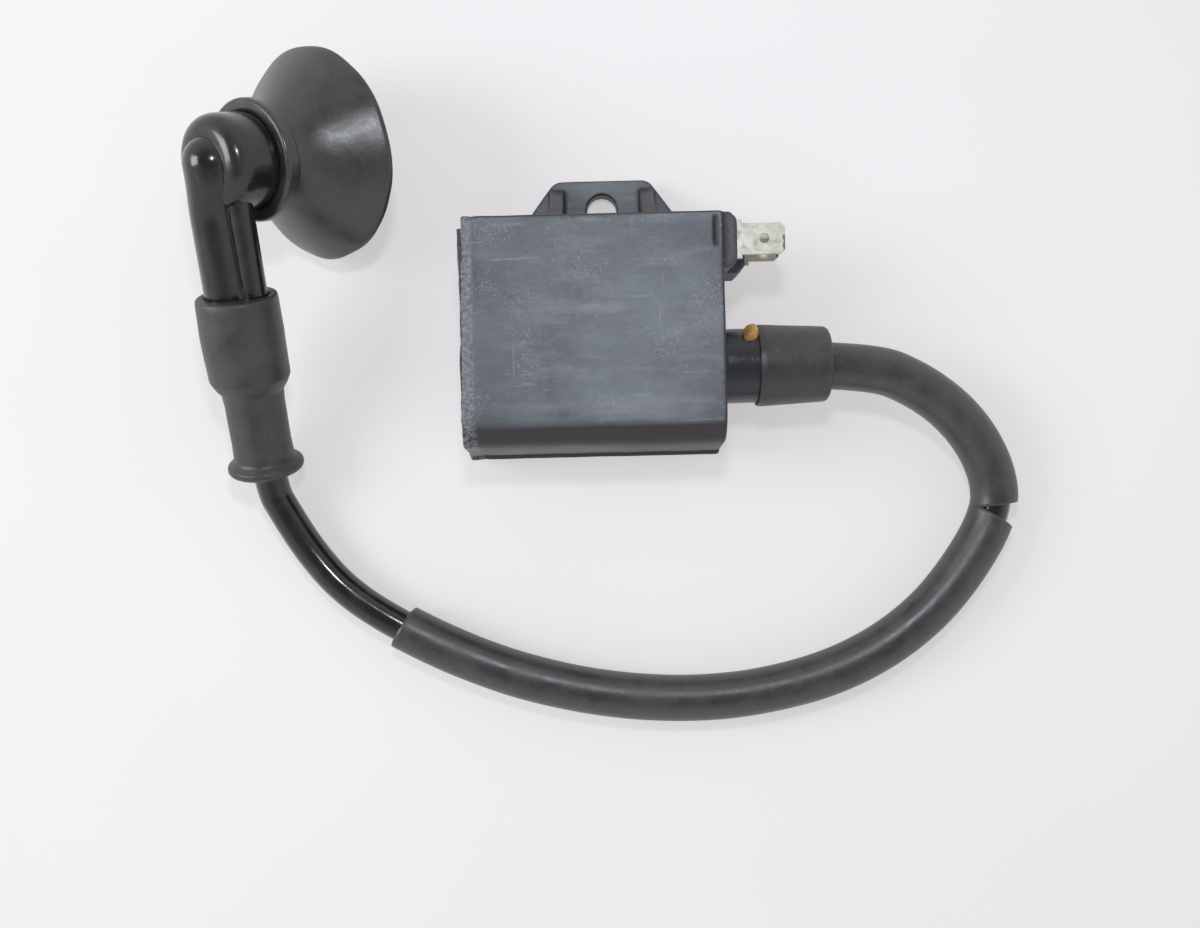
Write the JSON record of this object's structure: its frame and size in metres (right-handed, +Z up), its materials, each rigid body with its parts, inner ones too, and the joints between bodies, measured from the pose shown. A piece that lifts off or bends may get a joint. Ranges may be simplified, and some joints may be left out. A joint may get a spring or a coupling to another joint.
{
  "type": "ignition coil",
  "caption": "Potted ignition coil with a mounting lug, two blade terminals and a sleeved high-tension lead that ends in an elbow spark plug cap with a flared rubber shroud.",
  "frame": {"origin": "on the axis of the mounting lug's bolt hole, on the seating face", "axes": "+Z up out of the seating face along the bolt hole, +Y from the case out through the lug, +X towards the terminals and the lead tower"},
  "size_m": [0.1711, 0.1435, 0.0397],
  "materials": {
    "case": "moulded, bloomed and scuffed",
    "resin": "poured epoxy, uneven",
    "steel_core": "stamped silicon steel",
    "bobbin": "natural nylon",
    "copper_winding": "enamelled copper",
    "brass_part": "turned brass",
    "tinned_blade": "tin plated, dull and marked",
    "boot_rubber": "matte moulded rubber",
    "glue": "clear amber glue",
    "lead_jacket": "glossy black jacket",
    "sleeve_rubber": "satin black sleeving",
    "cap_phenolic": "polished black phenolic",
    "resistor_body": "ceramic",
    "spring_steel": "spring wire",
    "shroud_rubber": "satin moulded rubber"
  },
  "bodies": {
    "coil": {"coil_case": "case", "potting_resin": "resin", "core_laminations": "steel_core", "primary_bobbin": "bobbin", "primary_winding": "copper_winding", "secondary_bobbin": "bobbin", "secondary_winding": "copper_winding", "tower_contact_pin": "brass_part", "upper_terminal": "tinned_blade", "lower_terminal": "tinned_blade", "primary_wires": "copper_winding", "secondary_wire": "copper_winding", "tower_boot": "boot_rubber", "glue_bead": "glue", "lead_insulation": "lead_jacket", "lead_conductor": "copper_winding", "upper_sleeve": "sleeve_rubber", "lower_sleeve": "sleeve_rubber"},
    "plug_cap": {"cap_body": "cap_phenolic", "lead_post": "brass_part", "suppression_resistor": "resistor_body", "contact_spring": "spring_steel", "plug_cup": "brass_part", "plug_clip": "spring_steel", "lead_seal": "boot_rubber"},
    "shroud": {"shroud": "shroud_rubber"}
  },
  "joints": [
    {"name": "cap_turn", "type": "hinge", "parent": "coil", "child": "plug_cap", "pos_m": [-0.07371, -0.04171, 0.01382], "axis": [0.0207, -0.9133, -0.4067], "range_deg": [-90, 90]},
    {"name": "shroud_turn", "type": "hinge", "parent": "plug_cap", "child": "shroud", "pos_m": [-0.06786, 0.00709, 0.02485], "axis": [0.5743, 0.2605, -0.776], "continuous": true}
  ]
}
